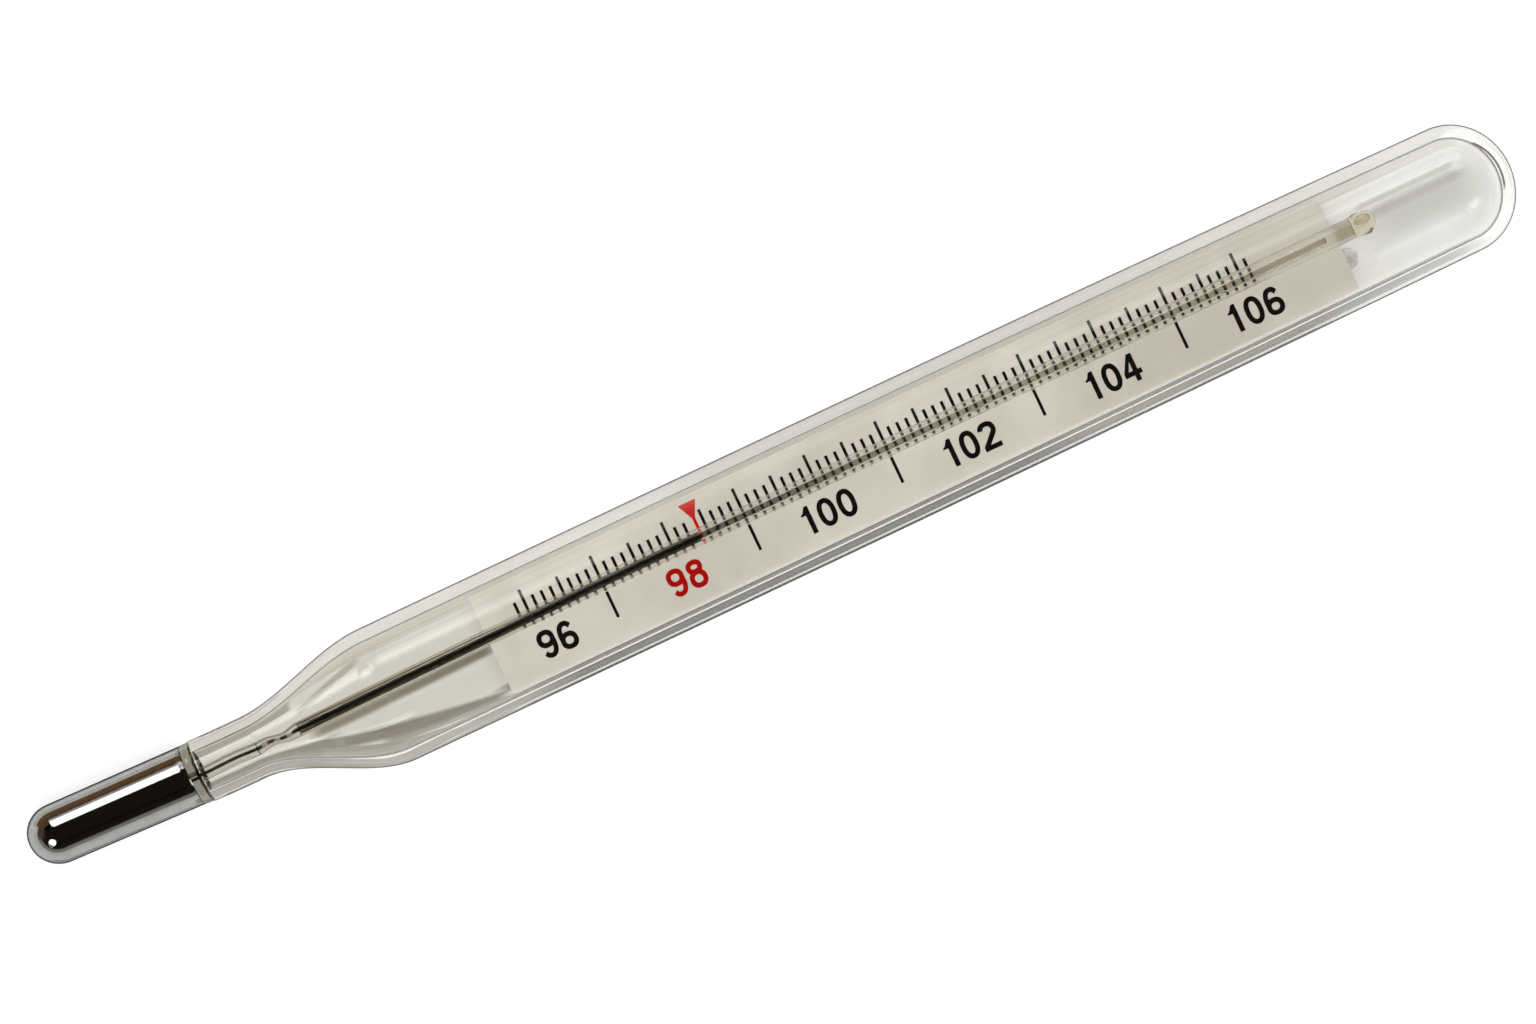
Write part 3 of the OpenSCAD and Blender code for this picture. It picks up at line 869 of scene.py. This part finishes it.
# Strip lights, which give the glass and the mercury their bright stripes; the camera doesn't see them
STRIP_DISTANCE = 500
STRIP_EDGE = 0.6
STRIP_END = 360
BULB_REACH = (-139, -79.5)


def aim(obj, place):
    """Puts a light at a place and turns it towards the origin."""
    obj.location = [v * MM for v in place]
    obj.rotation_mode = "QUATERNION"
    obj.rotation_quaternion = (-Vector(place)).to_track_quat("-Z", "Y")


def strip_light(name, reach, angles, strength, fade, levels=None, side=1):
    """A long soft light, seen from the object between two angles from the zenith, in degrees.

    reach is where it starts and ends along the length, and fade how long its faded ends are. levels gives how
    strong it is along its length, as pairs of a share of the length and a level. side is 1 on the side of the
    numerals' tops and -1 on the other.
    """
    middle = math.radians(sum(angles) / 2)
    half_width = STRIP_DISTANCE * math.tan(math.radians((angles[1] - angles[0]) / 2))
    half_length = (reach[1] - reach[0]) / 2
    obj = stage_plane(name, 2 * half_length, 2 * half_width)
    aim(obj, (0, side * STRIP_DISTANCE * math.sin(middle), STRIP_DISTANCE * math.cos(middle)))
    obj.location.x = sum(reach) / 2 * MM
    obj.visible_camera = False
    obj.visible_diffuse = False
    s = Shader(name + "_looks")
    across = s.math("ABSOLUTE", s.axis("Y"))
    faint = strength * STRIP_EDGE
    level = s.remap(across, half_width / 2 * MM, half_width * MM, strength, faint, smooth=True)
    from_middle = s.math("ABSOLUTE", s.axis("X"))
    ends = s.remap(from_middle, (half_length - fade) * MM, half_length * MM, 1.0, 0.0, smooth=True)
    level = s.math("MULTIPLY", level, ends)
    if levels:
        flip = (obj.rotation_quaternion @ Vector((1, 0, 0))).x * MM
        share = s.remap(s.axis("X"), -half_length * flip, half_length * flip, 0, 1)
        level = s.math("MULTIPLY", level, s.ramp(share, *[(place, (v, v, v)) for place, v in levels]))
    lamp = s.add("ShaderNodeEmission")
    s.link(level, lamp.inputs["Strength"])
    obj.data.materials.append(s.finish(lamp.outputs["Emission"]))
    return obj


def only_on(light, name, *objects):
    """Lets a light show on some pieces alone."""
    lit = bpy.data.collections.new(name)
    for obj in objects:
        lit.objects.link(obj)
    light.light_linking.receiver_collection = lit


body_levels = [(0.0, 1.0), (0.05, 0.9), (0.11, 0.4), (0.14, 0.1), (0.27, 0.1), (0.31, 0.55), (1.0, 0.55)]
strip_light("body_strip", (-76, STRIP_END), (41, 55), 3.2, 5, body_levels)
strip_light("side_strip", (-74, STRIP_END), (58, 82), 0.85, 10)
strip_light("bulb_strip", BULB_REACH, (34, 44), 4.0, 2)
bulb_wide_strip = strip_light("bulb_wide_strip", BULB_REACH, (44, 65), 4.5, 2)
only_on(bulb_wide_strip, "bulb_lit", bulb, filling, weld)
shoulder_strip = strip_light("shoulder_strip", (-450, -141), (36, 52), 3.5, 4)
only_on(shoulder_strip, "shoulder_lit", sheath)
join_strip = strip_light("join_strip", (BULB_REACH[1], -74), (38, 52), 3.2, 1)
only_on(join_strip, "join_lit", sheath, bulb, filling, weld)
lower_strip = strip_light("lower_strip", (-400, -69), (36.5, 40.5), 4.0, 4, side=-1)
only_on(lower_strip, "lower_lit", sheath)

# Cards beside and under the object, which give the glass and the mercury their dark and coloured lines. They
# are painted shade and painted reflections: the cards on the floor stand for the object's shadow on the
# floor, the upright ones for dark things beside it
CARD_STEP = 0.006
EDGE_CARD_Y = 8.3
WARM_WHITE = (1, 0.985, 0.94)


def grey(level):
    return tuple(level * v for v in WARM_WHITE)


def plain(colour):
    return [(0, colour)]


def card(name, size_x, size_y, colours, soft_x, soft_y):
    """A card that the camera doesn't see by itself, so that only the glass and the mercury show it.

    colours are pairs of a share of its length and a colour. soft_x and soft_y are how far its edges fade, as
    a share of half its length and width.
    """
    obj = stage_plane(name, size_x, size_y)
    obj.visible_camera = False
    obj.visible_diffuse = False
    obj.visible_shadow = False
    s = Shader(name + "_looks")
    paint = s.add("ShaderNodeEmission")
    share = s.remap(s.axis("X"), -size_x * MM / 2, size_x * MM / 2, 0, 1)
    s.link(s.ramp(share, *colours), paint.inputs["Color"])
    s.link(s.remap(s.noise(60, 2), 0.3, 0.7, 0.92, 1.0), paint.inputs["Strength"])
    cover = 1.0
    for letter, size, soft in (("X", size_x, soft_x), ("Y", size_y, soft_y)):
        half = size * MM / 2
        away = s.math("ABSOLUTE", s.axis(letter))
        cover = s.math("MULTIPLY", s.remap(away, half * (1 - soft), half, 1.0, 0.0, smooth=True), cover)
    clear = s.add("ShaderNodeBsdfTransparent")
    faded = s.mix_shaders(cover, clear.outputs["BSDF"], paint.outputs["Emission"])
    obj.data.materials.append(s.finish(faded))
    return obj


def standing_card(name, middle, length, height, turn, colour, soft_x, soft_y):
    """An upright card of one colour, turned about the vertical."""
    obj = card(name, length, height, plain(colour), soft_x, soft_y)
    obj.location = [v * MM for v in middle]
    obj.rotation_euler = (math.pi / 2, 0, turn)


floor_cards = []


def floor_card(name, start, end, width, colours, soft_x, soft_y):
    """A card on the floor along a line from start to end; a later card lies on the earlier ones."""
    line = Vector(end) - Vector(start)
    obj = card(name, line.length, width, colours, soft_x, soft_y)
    floor_cards.append(obj)
    middle = (Vector(start) + Vector(end)) / 2 * MM
    obj.location = (middle.x, middle.y, (FLOOR_Z + CARD_STEP * len(floor_cards)) * MM)
    obj.rotation_euler = (0, 0, math.atan2(line.y, line.x))


# Cards for the bulb
BULB_SHADE_Y = AXIS_Y - 0.4
bulb_dark = plain((0.03, 0.025, 0.02))
standing_card("bulb_card", (-52, 8.6, 3.95), 24, 3.7, 0, (0.24, 0.14, 0.07), 0.1, 0.3)
floor_card("bulb_shade", (X_TIP - 1.2, BULB_SHADE_Y), (X_WELD, BULB_SHADE_Y), 8.2, bulb_dark, 0.03, 0.1)

# Cards for the edges of the neck, the sheath and the plate
upper_greys = [
    (0.0, grey(0.80)), (0.2, grey(0.89)), (0.37, grey(0.90)), (0.42, grey(0.79)), (0.76, grey(0.79)),
    (0.80, grey(0.86)), (1.0, grey(0.90))]
lower_greys = [
    (0.0, grey(0.55)), (0.1, grey(0.42)), (0.15, grey(0.21)), (0.56, grey(0.21)), (0.63, grey(0.38)),
    (0.82, grey(0.32)), (0.91, grey(0.5)), (1.0, grey(0.75))]
line_dark = plain((0.05, 0.045, 0.04))
floor_card("upper_shade", (-46, EDGE_CARD_Y), (57, EDGE_CARD_Y), 9.4, upper_greys, 0.03, 0.06)
floor_card("upper_neck_shade", (-45.4, 3.0), (-37, 3.2), 1.6, plain(grey(0.6)), 0.1, 0.2)
floor_card("lower_neck_shade", (-47.0, -5.6), (-34, -5.6), 9.2, plain(grey(0.45)), 0.25, 0.06)
floor_card("shoulder_rim_shade", (-38, -4.6), (-26, -9.2), 6.4, plain(grey(0.52)), 0.15, 0.1)
floor_card("lower_shade", (-30, -EDGE_CARD_Y), (56, -EDGE_CARD_Y), 6.0, lower_greys, 0.1, 0.06)
floor_card("lower_line", (X_PLATE - 2, -3.8), (X_PLATE_END - 1, -3.8), 1.0, line_dark, 0.1, 0.3)

# Cards for the dark bands in the shoulder, painted shade seen through its glass
thread_browns = [(0, (0.46, 0.43, 0.37)), (0.6, (0.37, 0.34, 0.29)), (1, (0.32, 0.29, 0.25))]
floor_card("shoulder_low_shade", (-32.5, -3.35), (-21.8, -5.7), 1.3, plain((0.56, 0.545, 0.52)), 0.2, 0.5)
floor_card("shoulder_shade", (-36.0, -1.8), (-21.8, -4.75), 1.6, plain((0.40, 0.385, 0.36)), 0.25, 0.6)
floor_card("thread_shade", (-37.0, -0.48), (-21.4, -0.22), 1.2, thread_browns, 0.2, 0.8)
floor_card("upper_shoulder_shade", (-37.0, 1.7), (-31.0, 3.7), 0.9, plain(grey(0.72)), 0.3, 0.7)

# Cards for the round top
floor_card("top_shade", (45, 0.1), (58, 0.1), 5.0, plain((0.80, 0.79, 0.77)), 0.8, 0.9)
floor_card("dome_shade", (46.5, 1.0), (56, 1.0), 1.2, plain(grey(0.70)), 0.4, 0.9)
floor_card("dome_line", (46.5, 1.98), (55, 1.98), 0.6, plain(grey(0.80)), 0.2, 0.8)
standing_card("end_card", (60.4, 1.6, 3.0), 10, 1.2, math.pi / 2, (0.10, 0.075, 0.05), 0.3, 0.3)

# Lamps: a round spot on the bulb's nose, and a soft light from above that doesn't show in the glass


def soft_lamp(name, place, size, watts):
    data = bpy.data.lights.new(name, "AREA")
    data.shape = "DISK"
    data.size = size * MM
    data.energy = watts
    obj = bpy.data.objects.new(name, data)
    bpy.context.scene.collection.objects.link(obj)
    aim(obj, place)
    obj.visible_camera = False
    return obj


nose_light = soft_lamp("nose_light", (-275, -171, 313), 200, 0.42)
only_on(nose_light, "nose_lit", bulb, filling)
fill_light = soft_lamp("fill_light", (0, -50, 900), 700, 9.0)
fill_light.visible_glossy = False
fill_light.visible_transmission = False

# World: grey near the horizon on the side of the numerals' feet, brown on the other side, dark above
GREY = (0.42, 0.41, 0.39)
DARK = (0.018, 0.016, 0.014)
BROWN = (0.16, 0.10, 0.06)
BLACK, WHITE = (0, 0, 0), (1, 1, 1)
world = bpy.data.worlds.new("studio")
bpy.context.scene.world = world
world.use_nodes = True
sky = Nodes(world.node_tree, "Generated")
rise = sky.remap(sky.axis("Z"), 0, 1, 0, 1)
front = sky.ramp(rise, (0.0, GREY), (0.26, GREY), (0.36, DARK), (1.0, DARK))
back = sky.ramp(rise, (0.0, BROWN), (0.5, BROWN), (0.64, DARK), (1.0, DARK))
behind = sky.ramp(sky.remap(sky.axis("Y"), -1, 1, 0, 1), (0.5, BLACK), (0.62, WHITE))
background = sky.add("ShaderNodeBackground")
sky.link(sky.mix_colours(behind, front, back), background.inputs["Color"])
sky.link(background.outputs["Background"], sky.add("ShaderNodeOutputWorld").inputs["Surface"])

# Camera: straight above the scale, turned so that the thermometer rises to the right
TURN = math.radians(25.3)
FRAME_WIDTH = 108.5
FRAME_PIXELS = 1536
SHIFT_PIXELS = 4.7
LENS = 120
SENSOR = 36
shift = SHIFT_PIXELS * FRAME_WIDTH / FRAME_PIXELS
camera_height = AXIS_Z + FRAME_WIDTH * LENS / SENSOR
camera_data = bpy.data.cameras.new("camera")
camera_data.lens = LENS
camera_data.sensor_width = SENSOR
camera = bpy.data.objects.new("camera", camera_data)
bpy.context.scene.collection.objects.link(camera)
camera.location = (-math.cos(TURN) * shift * MM, math.sin(TURN) * shift * MM, camera_height * MM)
camera.rotation_euler = (0, 0, -TURN)

scene = bpy.context.scene
scene.camera = camera
scene.view_settings.view_transform = "Standard"
scene.cycles.caustics_refractive = False
scene.cycles.caustics_reflective = False
scene.cycles.max_bounces = 20
scene.cycles.transmission_bounces = 20
scene.cycles.glossy_bounces = 8
scene.cycles.transparent_max_bounces = 24
